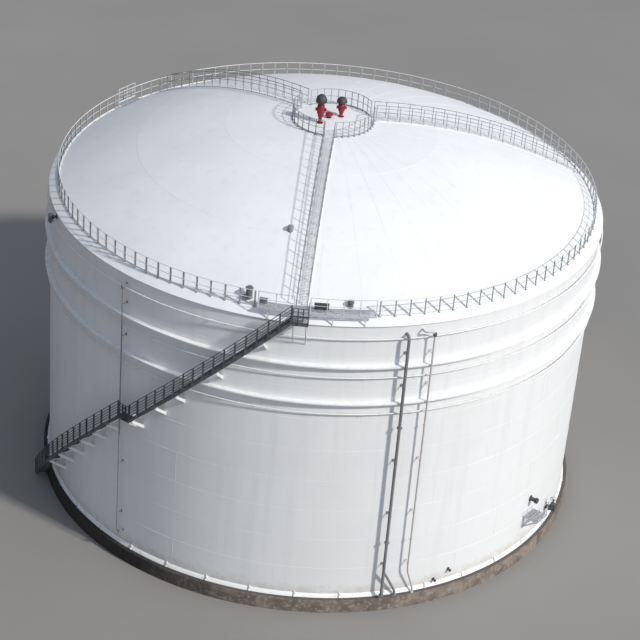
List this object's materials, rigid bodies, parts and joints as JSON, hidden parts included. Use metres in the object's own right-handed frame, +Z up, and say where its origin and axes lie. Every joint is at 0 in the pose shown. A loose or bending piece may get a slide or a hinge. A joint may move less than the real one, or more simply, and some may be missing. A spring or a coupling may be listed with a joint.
{
  "type": "dome roof oil storage tank",
  "caption": "Large upright cylindrical oil storage tank: white welded shell, low dome roof, wind girders, spiral stair, roof walkways and railings.",
  "frame": {"origin": "centre of the foundation's underside", "axes": "+Z up along the tank's axis; the spiral stair and the front walkway are on the -Y side"},
  "size_m": [37.8, 38.5804, 28.3365],
  "materials": {
    "shell_paint": "white tank paint, satin, with weathering",
    "roof_paint": "white roof paint, slightly chalky",
    "railing_paint": "light grey railing paint",
    "dark_steel": "dark grey steelwork paint, matte",
    "riser_grey": "grey pipe paint",
    "valve_red": "red valve enamel",
    "galvanised": "dull galvanised steel",
    "concrete": "brown weathered concrete",
    "sand_fill": "compacted sand"
  },
  "bodies": {
    "root": {"foundation_ring_wall": "concrete", "foundation_fill": "sand_fill", "bottom_plate": "shell_paint", "curb_angle": "shell_paint", "wind_girder_upper": "shell_paint", "wind_girder_lower": "shell_paint", "spray_ring_upper": "shell_paint", "spray_ring_middle": "shell_paint", "spray_ring_lower": "shell_paint", "roof_centre_plate": "roof_paint", "roof_edge_railing": "railing_paint", "centre_railing_1": "railing_paint", "centre_railing_2": "railing_paint", "centre_railing_3": "railing_paint", "breather_valve_large": "valve_red", "breather_valve_small": "valve_red", "crown_vent": "valve_red", "roof_hatch": "dark_steel", "gauge_hatch": "dark_steel", "sampling_hatch": "dark_steel", "edge_platform": "galvanised", "rim_platform": "galvanised", "stair_lower_flight": "dark_steel", "stair_upper_flight": "dark_steel", "stair_lower_handrail": "dark_steel", "stair_upper_handrail": "dark_steel", "stair_landing": "dark_steel", "stair_head_landing": "dark_steel", "cooling_riser": "riser_grey", "foam_riser": "shell_paint", "level_pipe": "riser_grey", "shell_manway": "dark_steel", "upper_nozzle": "dark_steel", "access_platform": "galvanised", "outlet_valve": "dark_steel", "drain_nozzle": "dark_steel", "steam_nozzle": "dark_steel", "foam_chamber": "dark_steel", "shell_segment_1": "shell_paint", "shell_segment_2": "shell_paint", "shell_segment_3": "shell_paint", "shell_segment_4": "shell_paint", "shell_segment_5": "shell_paint", "shell_segment_6": "shell_paint", "roof_gore_1": "roof_paint", "roof_gore_2": "roof_paint", "roof_gore_3": "roof_paint", "roof_gore_4": "roof_paint", "roof_gore_5": "roof_paint", "roof_gore_6": "roof_paint", "roof_walkway_1_deck": "galvanised", "roof_walkway_1_left_railing": "dark_steel", "roof_walkway_1_right_railing": "dark_steel", "roof_walkway_2_deck": "galvanised", "roof_walkway_2_left_railing": "dark_steel", "roof_walkway_2_right_railing": "dark_steel", "roof_walkway_3_deck": "galvanised", "roof_walkway_3_left_railing": "dark_steel", "roof_walkway_3_right_railing": "dark_steel"}
  },
  "joints": []
}
